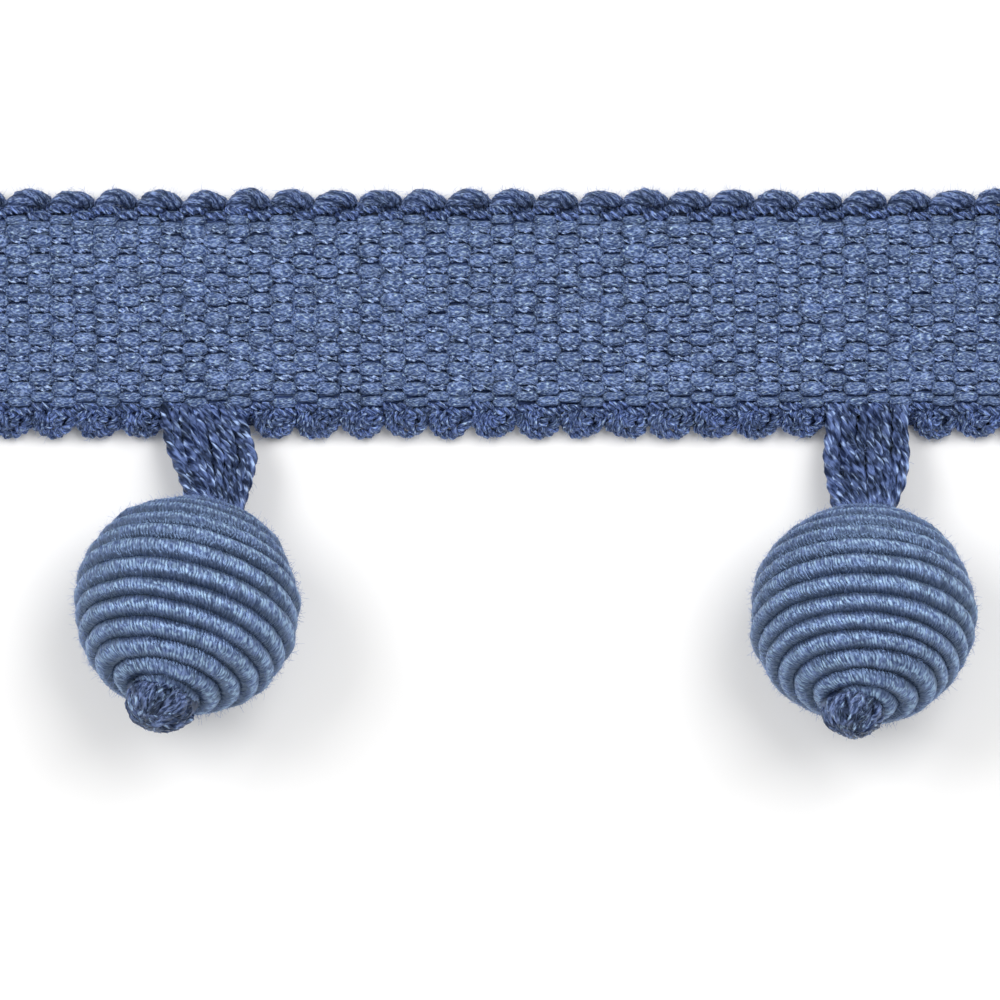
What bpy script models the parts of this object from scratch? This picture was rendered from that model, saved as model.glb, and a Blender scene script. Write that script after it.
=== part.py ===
"""Beaded fringe trim: a cut length of woven heading with two wound balls on yarn hangers.

The trim lies on its back on the plane Z = 0. X runs along the heading, +Y is its upper edge, the
balls hang towards -Y, and the origin is the middle of the heading's back. Lengths are in metres.
"""

import math

import bmesh
import bpy
from mathutils import Matrix, Vector

MM = 0.001
SEAT_GAP = 0.3 * MM
CLOSE = 0.002 * MM
SMOOTH_BELOW = math.radians(50)

# Heading: woven band with one weft loop for every two picks along each edge
PICK = 1.6 * MM
LOOP = 2 * PICK
PICKS = 60
LENGTH = PICKS * PICK
BODY_TOP = 7.9 * MM
BODY_BOTTOM = 7.25 * MM
TOP_LOOP_HEIGHT = 1.2 * MM
BOTTOM_LOOP_HEIGHT = 1.85 * MM
THICKNESS = 2.2 * MM
RIB_DEPTH = 0.3 * MM
RIM_BOTTOM = 0.35 * MM
RIM_TOP = 1.35 * MM
RIM_INSET = 0.55 * MM
LOOP_ROUNDNESS = 0.5
LOOP_UNEVENNESS = 0.1
STATIONS_PER_PICK = 3

# Balls: one spiral of gimp cord from the upper hole to the lower one
BALL_RADIUS = 8.2 * MM
FLATTENING = 0.975
POLAR_RADIUS = BALL_RADIUS * FLATTENING
COIL_TURNS = 14.5
HOLE_ANGLE = math.radians(18)
GROOVE_DEPTH = 0.42 * MM
CROWN_FLATNESS = 1.15
TURN_SEGMENTS = 28
COIL_ROWS = 3
DIMPLE_FLOOR = POLAR_RADIUS - 1.4 * MM
DIMPLE_FLOOR_RADIUS = 1.95 * MM
FLAT_SPOT_DEPTH = 0.15 * MM

# Hangers: flat bunches of plied yarn, which narrow towards the ball
HANGER_STRANDS = 5
HANGER_RINGS = 7
HANGER_SEGMENTS = 32
HANGER_START = BODY_BOTTOM + SEAT_GAP
HANGER_START_HEIGHT = 1.15 * MM
HANGER_END = DIMPLE_FLOOR + SEAT_GAP
HANGER_HALF_HEIGHTS = (0.85 * MM, 0.95 * MM, 0.9 * MM)
HANGER_TURN_FROM = 0.6
STRAND_RELIEF = 0.3
STRAND_DRIFT = 0.35

# Knots: lumps of tied yarn in the lower hole
KNOT_RADIUS = 2.75 * MM
KNOT_HALF_HEIGHT = 1.7 * MM
KNOT_LUMPS = 5
KNOT_RELIEF = 0.07
KNOT_TWIST = 2.5

# One row per pendant: centre X and Y, the direction from the upper hole to the lower one as a lean
# from -Y towards -X and a rise out of the plane, the start of the coil, the hanger's half-widths
# and sideways shifts at its top, middle and lower end, and the knot's size next to the full one.
PENDANTS = (
    {
        "number": 1,
        "x": -25.2 * MM,
        "y": -21.2 * MM,
        "lean": math.radians(17),
        "rise": math.radians(27),
        "coil_start": math.radians(40),
        "hanger_x": -24.0 * MM,
        "half_widths": (2.9 * MM, 2.7 * MM, 1.3 * MM),
        "shifts": (0, 0.4 * MM, 0),
        "knot_size": 1.0,
    },
    {
        "number": 2,
        "x": 23.6 * MM,
        "y": -21.8 * MM,
        "lean": math.radians(4.5),
        "rise": math.radians(30),
        "coil_start": math.radians(200),
        "hanger_x": 24.0 * MM,
        "half_widths": (2.9 * MM, 3.1 * MM, 1.5 * MM),
        "shifts": (0, -0.15 * MM, 0),
        "knot_size": 0.9,
    },
)

# Base colour (linear) and roughness of each yarn
YARNS = {
    "heading_weave": ((0.10, 0.15, 0.29), 0.85),
    "hanger_yarn": ((0.05, 0.08, 0.19), 0.75),
    "ball_gimp": ((0.11, 0.17, 0.30), 0.7),
    "knot_yarn": ((0.06, 0.09, 0.17), 0.8),
}


def clear_scene():
    for thing in list(bpy.data.objects):
        bpy.data.objects.remove(thing, do_unlink=True)


def make_material(name):
    colour, roughness = YARNS[name]
    material = bpy.data.materials.new(name)
    material.use_nodes = True
    shader = material.node_tree.nodes["Principled BSDF"]
    shader.inputs["Base Color"].default_value = (*colour, 1)
    shader.inputs["Roughness"].default_value = roughness
    shader.inputs["Metallic"].default_value = 0
    return material


def finish(bm, name, material, collection):
    """Makes an object of the bmesh, with its faces pointing out and its soft edges shaded smooth."""
    bmesh.ops.recalc_face_normals(bm, faces=bm.faces)
    if bm.calc_volume(signed=True) < 0:
        bmesh.ops.reverse_faces(bm, faces=bm.faces)
    mesh = bpy.data.meshes.new(name)
    bm.to_mesh(mesh)
    bm.free()
    mesh.shade_smooth()
    mesh.set_sharp_from_angle(angle=SMOOTH_BELOW)
    mesh.materials.append(material)
    piece = bpy.data.objects.new(name, mesh)
    collection.objects.link(piece)
    return piece


def uneven(index):
    """A steady wobble from -1 to 1 that differs from one loop to the next."""
    return math.sin(index * 2.4) * math.cos(index * 1.1)


def loop_height(along, height, shift):
    """How far the edge loops stand out of the band at a place along it."""
    phase = (along + LENGTH / 2 - shift) / LOOP
    size = 1 + LOOP_UNEVENNESS * uneven(math.floor(phase) + shift / PICK)
    return height * size * abs(math.sin(math.pi * phase)) ** LOOP_ROUNDNESS


def is_hanger(along):
    return any(abs(along - row["hanger_x"]) < LOOP - CLOSE for row in PENDANTS)


def top_edge(along):
    return BODY_TOP + loop_height(along, TOP_LOOP_HEIGHT, 0)


def bottom_edge(along):
    loops = 0 if is_hanger(along) else loop_height(along, BOTTOM_LOOP_HEIGHT, PICK)
    return -BODY_BOTTOM - loops


def rib(along):
    """The pick's rounded back: 0 in the groove between two picks, 1 on its crown."""
    return abs(math.sin(math.pi * (along + LENGTH / 2) / PICK))


def make_heading(material, collection):
    bm = bmesh.new()
    stations = PICKS * STATIONS_PER_PICK
    rows = 5
    bmesh.ops.create_grid(bm, x_segments=stations, y_segments=rows, size=0.5)
    raised = bmesh.ops.extrude_face_region(bm, geom=bm.faces[:])["geom"]
    upper = {v for v in raised if isinstance(v, bmesh.types.BMVert)}
    for v in bm.verts:
        along = v.co.x * LENGTH
        row = round((v.co.y + 0.5) * rows)
        low, high = bottom_edge(along), top_edge(along)
        across = (
            low,
            low + RIM_INSET,
            -BODY_BOTTOM + LOOP,
            BODY_TOP - LOOP,
            high - RIM_INSET,
            high,
        )[row]
        crown = THICKNESS - RIB_DEPTH * (1 - rib(along))
        on_rim = row in (0, rows)
        rim = RIM_TOP if v in upper else RIM_BOTTOM
        face = crown if v in upper else 0
        v.co = Vector((along, across, rim if on_rim else face))
    return finish(bm, "heading", material, collection)


def pendant_frame(row):
    """The ball's centre, and its axis as a unit vector from the upper hole to the lower one."""
    flat = math.cos(row["rise"])
    axis = Vector(
        (-math.sin(row["lean"]) * flat, -math.cos(row["lean"]) * flat, math.sin(row["rise"]))
    )
    reach = math.hypot(BALL_RADIUS * flat, POLAR_RADIUS * axis.z)
    return Vector((row["x"], row["y"], reach - FLAT_SPOT_DEPTH)), axis


def placed(row):
    """The matrix that takes a piece from its own frame, +Z at the upper hole, to its place."""
    centre, axis = pendant_frame(row)
    turn = (-axis).to_track_quat("Z", "Y").to_matrix().to_4x4()
    return Matrix.Translation(centre) @ turn


def coil_point(turns, share, start):
    """A point of the coil: turns along it, and a share from 0 to 1 of the way across it."""
    pitch = (math.pi - 2 * HOLE_ANGLE) / COIL_TURNS
    near = HOLE_ANGLE + pitch * max(turns - 1, 0)
    far = HOLE_ANGLE + pitch * min(turns, COIL_TURNS)
    fullness = min(1, (far - near) / pitch)
    polar_angle = near + (far - near) * share
    round_angle = start + math.tau * turns
    crown = math.sin(math.pi * share) * fullness
    radius = BALL_RADIUS - GROOVE_DEPTH * (1 - min(1, CROWN_FLATNESS * crown))
    across = radius * math.sin(polar_angle)
    return Vector(
        (
            across * math.cos(round_angle),
            across * math.sin(round_angle),
            radius * math.cos(polar_angle) * FLATTENING,
        )
    )


def close_hole(bm, edges):
    """Sinks a hole's rim to the floor of its dimple and closes the floor."""
    sunk = bmesh.ops.extrude_edge_only(bm, edges=edges)["geom"]
    floor_edges = [g for g in sunk if isinstance(g, bmesh.types.BMEdge)]
    for v in {v for edge in floor_edges for v in edge.verts}:
        rim = Vector((v.co.x, v.co.y, 0)).normalized() * DIMPLE_FLOOR_RADIUS
        v.co = Vector((rim.x, rim.y, math.copysign(DIMPLE_FLOOR, v.co.z)))
    bmesh.ops.holes_fill(bm, edges=floor_edges, sides=0)


def make_ball(row, material, collection):
    bm = bmesh.new()
    columns = round(TURN_SEGMENTS * (COIL_TURNS + 1))
    bmesh.ops.create_grid(bm, x_segments=columns, y_segments=COIL_ROWS, size=0.5)
    for v in bm.verts:
        column = round((v.co.x + 0.5) * columns)
        v.co = coil_point(column / TURN_SEGMENTS, v.co.y + 0.5, row["coil_start"])
    bmesh.ops.remove_doubles(bm, verts=bm.verts, dist=CLOSE)
    rims = [edge for edge in bm.edges if edge.is_boundary]
    for side in (1, -1):
        close_hole(bm, [edge for edge in rims if edge.verts[0].co.z * side > 0])
    bm.transform(placed(row))
    for v in bm.verts:
        v.co.z = max(v.co.z, 0)
    return finish(bm, f"ball_{row['number']}", material, collection)


def between(values, share):
    """A smooth curve through three values at 0, one half and 1."""
    start, middle, end = values
    bend = 2 * (2 * middle - start - end)
    return start + (end - start) * share + bend * share * (1 - share)


def make_hanger(row, material, collection):
    bm = bmesh.new()
    bmesh.ops.create_cone(
        bm, cap_ends=True, segments=HANGER_SEGMENTS, radius1=1, radius2=1, depth=1
    )
    upright = [e for e in bm.edges if abs(e.verts[0].co.z - e.verts[1].co.z) > 0.5]
    bmesh.ops.subdivide_edges(bm, edges=upright, cuts=HANGER_RINGS - 1, use_grid_fill=True)
    centre, axis = pendant_frame(row)
    start = Vector((row["hanger_x"], -HANGER_START, HANGER_START_HEIGHT))
    end = centre - axis * HANGER_END
    tilt = Vector((0, -1, 0)).rotation_difference(axis).to_matrix()
    for v in bm.verts:
        share = 0.5 - v.co.z
        side, up = v.co.x, v.co.y
        bunch = HANGER_STRANDS * (side + 1) / 2 + STRAND_DRIFT * share
        relief = 1 - STRAND_RELIEF * (1 - abs(math.sin(math.pi * bunch)))
        half_width = between(row["half_widths"], share)
        half_height = between(HANGER_HALF_HEIGHTS, share)
        offset = Vector((side * half_width, 0, up * half_height * relief))
        into_ball = max(0, (share - HANGER_TURN_FROM) / (1 - HANGER_TURN_FROM))
        offset = offset.lerp(tilt @ offset, into_ball)
        spine = start.lerp(end, share)
        spine.x += between(row["shifts"], share)
        v.co = spine + offset
    return finish(bm, f"hanger_{row['number']}", material, collection)


def make_knot(row, material, collection):
    bm = bmesh.new()
    bmesh.ops.create_uvsphere(bm, u_segments=18, v_segments=10, radius=1)
    for v in bm.verts:
        around = math.atan2(v.co.y, v.co.x)
        twist = around * KNOT_LUMPS + KNOT_TWIST * v.co.z + row["number"]
        lumps = 1 - KNOT_RELIEF * (1 + math.sin(twist)) * (1 - v.co.z**2)
        across = KNOT_RADIUS * row["knot_size"] * lumps
        high = KNOT_HALF_HEIGHT * row["knot_size"]
        down = DIMPLE_FLOOR + SEAT_GAP + high * (1 - v.co.z)
        v.co = Vector((v.co.x * across, v.co.y * across, -down))
    bm.transform(placed(row))
    return finish(bm, f"knot_{row['number']}", material, collection)


def main():
    clear_scene()
    collection = bpy.data.collections.new("beaded_fringe_trim")
    bpy.context.scene.collection.children.link(collection)
    materials = {name: make_material(name) for name in YARNS}
    make_heading(materials["heading_weave"], collection)
    for row in PENDANTS:
        make_hanger(row, materials["hanger_yarn"], collection)
        make_ball(row, materials["ball_gimp"], collection)
        make_knot(row, materials["knot_yarn"], collection)


main()
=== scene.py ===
"""Beaded fringe trim: yarn-by-yarn model of a woven heading with wound balls on hangers.

The heading lies on its back on the floor plane. X runs along it, +Y is its upper edge and the
balls hang towards -Y. Sizes are in metres, apart from tables and draws that are multiplied by MM
and yarn finishes, which are in millimetres.
"""

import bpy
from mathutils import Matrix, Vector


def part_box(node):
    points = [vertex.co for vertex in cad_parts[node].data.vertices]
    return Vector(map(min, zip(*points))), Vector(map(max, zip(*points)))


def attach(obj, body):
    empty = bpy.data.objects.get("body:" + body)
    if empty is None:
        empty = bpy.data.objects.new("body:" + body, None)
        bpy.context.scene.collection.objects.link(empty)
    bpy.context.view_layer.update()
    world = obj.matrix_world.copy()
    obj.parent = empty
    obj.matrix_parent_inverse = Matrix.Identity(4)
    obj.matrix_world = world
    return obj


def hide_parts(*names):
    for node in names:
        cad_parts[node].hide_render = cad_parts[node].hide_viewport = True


bl_info = {
    "name": "Beaded Fringe Trim",
    "version": (1, 0, 0),
    "blender": (4, 5, 0),
    "location": "View3D > Sidebar > Trim",
    "description": "Builds a woven trim heading with looped edges, yarn hangers and wound balls",
    "category": "Object",
}

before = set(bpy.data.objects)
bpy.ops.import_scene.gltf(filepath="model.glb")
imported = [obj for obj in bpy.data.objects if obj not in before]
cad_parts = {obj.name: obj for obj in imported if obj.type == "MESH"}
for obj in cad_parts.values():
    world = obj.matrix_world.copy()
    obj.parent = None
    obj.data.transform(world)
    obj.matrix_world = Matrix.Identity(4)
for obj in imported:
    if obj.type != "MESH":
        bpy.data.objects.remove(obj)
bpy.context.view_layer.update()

import math
import random

import bpy
import numpy as np
from bpy.props import FloatProperty, FloatVectorProperty, IntProperty, PointerProperty
from bpy.types import Operator, Panel, PropertyGroup
from mathutils import Vector, noise

MM = 0.001
HEADING_LOW, HEADING_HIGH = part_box("heading")
PENDANT_NUMBERS = (1, 2)
FLOOR_CLEARANCE = 0.02 * MM
# Range of the angle, in radians, at which a yarn's plies or a wave starts
ANY_START = (0, 6)


# ---------------------------------------------------------------- settings


class TrimHeadingSettings(PropertyGroup):
    pick: FloatProperty(
        name="Pick spacing", default=1.6 * MM, unit="LENGTH",
        description="Distance from one weft pick to the next along the heading",
    )
    thick_rows: IntProperty(
        name="Thick warps", default=17,
        description="Number of thick soft warps in the body of the heading",
    )
    thick_spacing: FloatProperty(
        name="Warp spacing", default=0.713 * MM, unit="LENGTH",
        description="Distance from one thick warp to the next across the heading",
    )
    first_thick: FloatProperty(
        name="First thick warp", default=5.93 * MM, unit="LENGTH",
        description="Height of the uppermost thick warp above the middle of the heading",
    )
    middle_height: FloatProperty(
        name="Middle height", default=1.1 * MM, unit="LENGTH",
        description="Height of the weft picks above the floor",
    )
    lean: FloatProperty(
        name="Lean", default=0.015,
        description="Sideways drift of the picks towards the lower edge, per length across",
    )


class TrimBallSettings(PropertyGroup):
    fullness: FloatProperty(
        name="Fullness", default=1.08,
        description="Half thickness of the gimp cord next to half the distance between turns",
    )
    flattening: FloatProperty(
        name="Flattening", default=0.975,
        description="Radius along the axis next to the radius around it",
    )
    wrap_spacing: FloatProperty(
        name="Wrap spacing", default=0.26 * MM, unit="LENGTH",
        description="Distance from one turn of the fine wrapping thread to the next",
    )
    wrap_slant: FloatProperty(
        name="Wrap slant", default=0.8,
        description="Turns of thread passed for each radian round the cord",
    )


class TrimColours(PropertyGroup):
    soft_warp: FloatVectorProperty(
        name="Soft warp", default=(0.121, 0.189, 0.415), subtype="COLOR",
        description="Colour of the thick soft warps",
    )
    thin_pair: FloatVectorProperty(
        name="Thin pair", default=(0.1, 0.158, 0.39), subtype="COLOR",
        description="Colour of the thin twisted warps",
    )
    edge_yarn: FloatVectorProperty(
        name="Edge yarn", default=(0.05, 0.085, 0.265), subtype="COLOR",
        description="Colour of the dark yarn of the edges, hangers, knots and weft picks",
    )
    loop_cord: FloatVectorProperty(
        name="Loop cord", default=(0.082, 0.13, 0.325), subtype="COLOR",
        description="Colour of the soft cord of the upper loops",
    )
    gimp: FloatVectorProperty(
        name="Gimp", default=(0.072, 0.11, 0.262), subtype="COLOR",
        description="Colour of the wrapping thread of the balls",
    )


class TrimStageSettings(PropertyGroup):
    view_width: FloatProperty(
        name="View width", default=72.73 * MM, unit="LENGTH",
        description="Width of what the camera sees on the trim",
    )
    view_x: FloatProperty(
        name="View centre X", default=-2.62 * MM, unit="LENGTH",
        description="Place along the heading that the camera looks at",
    )
    view_y: FloatProperty(
        name="View centre Y", default=-13.56 * MM, unit="LENGTH",
        description="Place across the heading that the camera looks at",
    )
    distance: FloatProperty(
        name="Camera distance", default=1.0, unit="LENGTH",
        description="Height of the camera above the floor",
    )


SETTINGS = {
    "trim_heading": TrimHeadingSettings,
    "trim_ball": TrimBallSettings,
    "trim_colours": TrimColours,
    "trim_stage": TrimStageSettings,
}


# ---------------------------------------------------------------- materials

GLOSS_TINT = (0.45, 0.66, 1.0)
SHEEN_TINT = (0.5, 0.72, 1.0)
SHEEN_ROUGHNESS = 0.5
YARN_SHEEN = 0.1
# Fibres pass light on, and blue light furthest, so shaded parts keep their colour
GLOW_SPREAD = (0.35, 0.55, 1.0)
GLOW_DEPTH = 0.15 * MM
NOISE_ROUGHNESS = 0.55


class Nodes:
    """A material's node tree, with short ways to add the nodes that yarns need."""

    def __init__(self, name):
        self.material = bpy.data.materials.new(name)
        self.material.use_nodes = True
        self.tree = self.material.node_tree
        self.shader = self.tree.nodes["Principled BSDF"]

    def put(self, value, socket):
        """Links a socket's output to the input, or sets the input to a number or colour."""
        if isinstance(value, bpy.types.NodeSocket):
            self.tree.links.new(value, socket)
        elif isinstance(value, tuple) and len(value) < len(socket.default_value):
            socket.default_value = (*value, 1)
        else:
            socket.default_value = value

    def node(self, kind, values, output=0, **settings):
        """One of the outputs of a new node, whose inputs are set or linked by name or number."""
        node = self.tree.nodes.new(f"ShaderNode{kind}")
        for name, value in settings.items():
            setattr(node, name, value)
        for name, value in values.items():
            self.put(value, node.inputs[name])
        return node.outputs[output]

    def coordinates(self, source, size, turn=0.0):
        """UV or object coordinates in which features of this size come out one unit long."""
        place = self.node("TexCoord", {}, source)
        values = {"Vector": place, "Rotation": (0, 0, turn), "Scale": size}
        return self.node("Mapping", values, vector_type="TEXTURE")

    def along_and_around(self):
        """The UV map's two numbers: the place along the yarn and the place around it."""
        place = self.node("TexCoord", {}, "UV")
        return self.node("SeparateXYZ", {0: place}, 0), self.node("SeparateXYZ", {0: place}, 1)

    def noise(self, vector, detail):
        values = {"Vector": vector, "Scale": 1.0, "Detail": detail, "Roughness": NOISE_ROUGHNESS}
        return self.node("TexNoise", values, "Fac")

    def streaks(self, length, width, turn=0.0, detail=1.0):
        """Fibre marks of this length and width on the yarn's surface."""
        return self.noise(self.coordinates("UV", (length, width, 1), turn), detail)

    def blotches(self, size, detail=3.0):
        """Soft clouds of this size all through the piece."""
        return self.noise(self.coordinates("Object", (size, size, size)), detail)

    def math(self, operation, *values):
        return self.node("Math", dict(enumerate(values)), operation=operation)

    def between(self, *values):
        """The first value, brought from the next two's range to 0..1 or to the last two's."""
        return self.node("MapRange", dict(enumerate(values)), interpolation_type="SMOOTHSTEP")

    def mix(self, factor, first, second, blend="MIX"):
        values = {0: factor, 6: first, 7: second}
        return self.node("Mix", values, 2, data_type="RGBA", blend_type=blend)

    def bump(self, height, depth):
        return self.node("Bump", {"Height": height, "Distance": depth}, "Normal")

    def finish(self, colour, normal, roughness, specular, sheen, glow, tint=GLOSS_TINT):
        values = {
            "Base Color": colour,
            "Normal": normal,
            "Roughness": roughness,
            "Specular IOR Level": specular,
            "Specular Tint": tint,
            "Sheen Weight": sheen,
            "Sheen Roughness": SHEEN_ROUGHNESS,
            "Sheen Tint": SHEEN_TINT,
            "Subsurface Weight": glow,
            "Subsurface Radius": GLOW_SPREAD,
            "Subsurface Scale": GLOW_DEPTH,
        }
        for name, value in values.items():
            self.put(value, self.shader.inputs[name])
        return self.material


def toned(colour, gain, purity=1.0):
    """The colour made lighter or darker, and purer or paler."""
    most = max(colour)
    return tuple(min(0.9, most * gain * (channel / most) ** purity) for channel in colour)


def yarn_material(name, colour, girth, plies=0, streak=(0.42, 0.2), turn=0.25, depth=0.07,
                  dark=0.3, light=1.4, glints=1.0, painted_glint_colour=(0.32, 0.45, 0.68), groove_shade=0.35,
                  mottling=0.28, roughness=0.5, specular=0.5, glow=0.2, rarity=0.56,
                  tint=GLOSS_TINT):
    """Spun yarn: fibres along it, painted glints, painted shade in grooves between plies, mottling.

    A yarn's UV map is in millimetres along it and in turns around it, and starts on a ply's
    crest. The girth is the length of one turn, a streak is a fibre's length and width, and the
    depth is the relief's, all in millimetres. Fibres lie at an angle of turn to the yarn. Dark
    and light are the tones of lower and raised fibres, partly their own streaks and partly
    painted shade and painted light. The groove_shade is how much painted shade lies between
    plies, painted_glint_colour is the colour of the painted glints, and a higher rarity leaves
    fewer of them.
    """
    nodes = Nodes(name)
    length, width = streak[0], streak[1] / girth
    lean = math.atan(math.tan(turn) / girth)
    # Two layers of fibres, which cross each other
    first = nodes.streaks(length, width, lean)
    second = nodes.streaks(length * 0.7, width * 0.8, -lean)
    fibres = nodes.between(nodes.math("ADD", first, second), 0.78, 1.22)
    # Painted glints with soft edges, on raised fibres only
    painted_glint = nodes.streaks(length * 0.7, width, lean * 0.5, detail=0.0)
    painted_glint = nodes.math("MULTIPLY", nodes.between(painted_glint, rarity, rarity + 0.14, 0.0, glints), fibres)
    height = nodes.math("MULTIPLY_ADD", painted_glint, 0.5, fibres)
    # Lower fibres take a darker, purer tone as painted shade, and raised ones a lighter, paler tone
    # as painted light; the streaks are partly the fibres' own uneven tone
    shadow = toned(colour, dark, 1.7 - dark)
    streaked = nodes.mix(fibres, shadow, toned(colour, light, 0.7))
    if plies:
        _along, around = nodes.along_and_around()
        wave = nodes.math("MULTIPLY", around, math.pi * plies)
        crest = nodes.math("ABSOLUTE", nodes.math("COSINE", wave))
        # Painted shade in the grooves between the plies, and painted glints only near the plies'
        # crests
        painted_groove_shade = nodes.between(crest, 0.1, 0.85, 1.0 - groove_shade, 0.0)
        streaked = nodes.mix(painted_groove_shade, streaked, toned(colour, 0.18, 1.5))
        height = nodes.math("MULTIPLY_ADD", crest, 1.6, height)
        painted_glint = nodes.math("MULTIPLY", painted_glint, nodes.between(crest, 0.3, 0.8))
    tone = nodes.between(
        nodes.blotches(1.1 * MM), 0.3, 0.7, 1.0 - mottling, 1.0 + 0.9 * mottling
    )
    mottled = nodes.mix(1.0, streaked, tone, "MULTIPLY")
    # The painted glints are mixed into the base colour in their own pale colour
    lit = nodes.mix(painted_glint, mottled, painted_glint_colour)
    normal = nodes.bump(height, depth * MM)
    return nodes.finish(lit, normal, roughness, specular, YARN_SHEEN, glow, tint)


# ---------------------------------------------------------------- yarns

SMOOTH_BELOW = math.radians(80)
YARN_WELD = 0.002 * MM
# Each strand's UV map starts at its own place in a square of this many millimetres and turns
UV_SPREAD = 90
# How far the laid yarns wander, and how far from each other the wanderings lie
SETTLING = 0.09 * MM
SETTLING_SPREAD = 5 * MM
# Without a seed, that wandering differs from run to run
SETTLING_SEED = 5


def deselect_all():
    for thing in bpy.context.selected_objects:
        thing.select_set(False)


def make_active(piece):
    deselect_all()
    piece.select_set(True)
    bpy.context.view_layer.objects.active = piece


def vertex_values(piece, name="co"):
    """The places of a piece's vertices, or their normals, in a row each."""
    values = np.empty(len(piece.data.vertices) * 3)
    piece.data.vertices.foreach_get(name, values)
    return values.reshape(-1, 3)


def move_vertices(piece, places):
    piece.data.vertices.foreach_set("co", places.ravel())


def draws(chooser, count, low, high):
    return np.array([chooser.uniform(low, high) for _ in range(count)])


def nudges(chooser, count, most):
    """Random shifts in X, Y and Z of up to so many millimetres, in a row for each point."""
    return draws(chooser, count * 3, -most, most).reshape(-1, 3) * MM


def section_object(sides, half_width, half_height=None, lobes=0, relief=0.0):
    """A closed flat curve that a yarn is swept with: round or oval, with a lobe for each ply."""
    half_height = half_height or half_width
    curve = bpy.data.curves.new("section", "CURVE")
    curve.dimensions = "2D"
    spline = curve.splines.new("POLY")
    spline.points.add(sides - 1)
    spline.use_cyclic_u = True
    for number, point in enumerate(spline.points):
        angle = math.tau * number / sides
        size = 1 + relief * math.cos(lobes * angle) if lobes else 1
        across, up = half_width * math.cos(angle), half_height * math.sin(angle)
        point.co = (across * size, up * size, 0, 1)
    section = bpy.data.objects.new("section", curve)
    bpy.context.collection.objects.link(section)
    return section


def sweep(name, section, strands, upright=False):
    """One closed mesh of all the strands: each is its points, and its sizes and turns there."""
    curve = bpy.data.curves.new(name, "CURVE")
    curve.dimensions = "3D"
    curve.bevel_mode = "OBJECT"
    curve.bevel_object = section
    curve.use_fill_caps = True
    curve.twist_mode = "Z_UP" if upright else "MINIMUM"
    for points, sizes, turns in strands:
        spline = curve.splines.new("POLY")
        spline.points.add(len(points) - 1)
        places = np.ones((len(points), 4))
        places[:, :3] = points
        spline.points.foreach_set("co", places.ravel())
        spline.points.foreach_set("radius", np.broadcast_to(sizes, len(points)).astype(float))
        spline.points.foreach_set("tilt", np.broadcast_to(turns, len(points)).astype(float))
    piece = bpy.data.objects.new(name, curve)
    bpy.context.collection.objects.link(piece)
    make_active(piece)
    bpy.ops.object.convert(target="MESH")
    piece = bpy.context.object
    measure_uvs(piece, len(section.data.splines[0].points), strands)
    bpy.data.objects.remove(section)
    close_and_smooth(piece)
    return piece


def measure_uvs(piece, sides, strands):
    """Brings the UV map to millimetres along each strand, and moves each to its own place."""
    layer = piece.data.uv_layers[0].data
    places = np.empty(len(layer) * 2)
    layer.foreach_get("uv", places)
    places = places.reshape(-1, 2)
    chooser = random.Random(len(strands))
    # All the caps' triangles come first, two fans for each strand, and then the side faces
    begin = len(strands) * 2 * (sides - 2) * 3
    for points, _sizes, _turns in strands:
        end = begin + (len(points) - 1) * sides * 4
        length = np.linalg.norm(np.diff(np.asarray(points), axis=0), axis=1).sum() / MM
        places[begin:end, 0] *= length
        places[begin:end] += (chooser.uniform(0, UV_SPREAD), chooser.randrange(UV_SPREAD))
        begin = end
    layer.foreach_set("uv", places.ravel())


def close_up(piece, weld_distance, fill=False):
    """Welds loose seams, fills what is still open if asked, and turns every face outwards."""
    make_active(piece)
    bpy.ops.object.mode_set(mode="EDIT")
    bpy.ops.mesh.select_all(action="SELECT")
    bpy.ops.mesh.remove_doubles(threshold=weld_distance)
    if fill:
        bpy.ops.mesh.fill_holes(sides=0)
    bpy.ops.mesh.normals_make_consistent(inside=False)
    bpy.ops.object.mode_set(mode="OBJECT")


def close_and_smooth(piece):
    """Welds the loose caps and shades the yarn smooth."""
    close_up(piece, YARN_WELD)
    bpy.ops.object.shade_smooth_by_angle(angle=SMOOTH_BELOW)


def roughen(piece, size, depth):
    """Pushes the surface in and out a little, so that no yarn is perfectly even."""
    texture = bpy.data.textures.new("unevenness", "CLOUDS")
    texture.noise_scale = size
    texture.noise_depth = 1
    push = piece.modifiers.new("Unevenness", "DISPLACE")
    push.texture = texture
    push.strength = depth
    push.mid_level = 0.5
    make_active(piece)
    bpy.ops.object.modifier_apply(modifier=push.name)
    bpy.data.textures.remove(texture)


def finish_piece(piece, material, nodes=()):
    """Keeps the piece above the floor, gives it its material and body, and hides the CAD nodes that
    it stands for.
    """
    places = vertex_values(piece)
    places[:, 2] = places[:, 2].clip(FLOOR_CLEARANCE)
    move_vertices(piece, places)
    piece.data.materials.clear()
    piece.data.materials.append(material)
    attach(piece, "root")
    if nodes:
        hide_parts(*nodes)


def settled(points):
    """The points moved by a slow noise, the same for yarns that lie side by side."""
    noise.seed_set(SETTLING_SEED)
    moved = np.array(points, float)
    for number, point in enumerate(moved):
        drift = np.array(noise.noise_vector(Vector(point) / SETTLING_SPREAD))
        moved[number] = point + drift * SETTLING
    return moved


def through(knots, count):
    """Even steps along a smooth curve through the given points."""
    knots = np.array(knots, float)
    padded = np.vstack([2 * knots[0] - knots[1], knots, 2 * knots[-1] - knots[-2]])
    places = np.linspace(0, len(knots) - 1 - 1e-9, count)
    base = places.astype(int)
    share = (places - base)[:, None]
    before, start, end, after = (padded[base + step] for step in range(4))
    return 0.5 * (
        2 * start
        + (end - before) * share
        + (2 * before - 5 * start + 4 * end - after) * share**2
        + (3 * start - before - 3 * end + after) * share**3
    )


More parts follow.
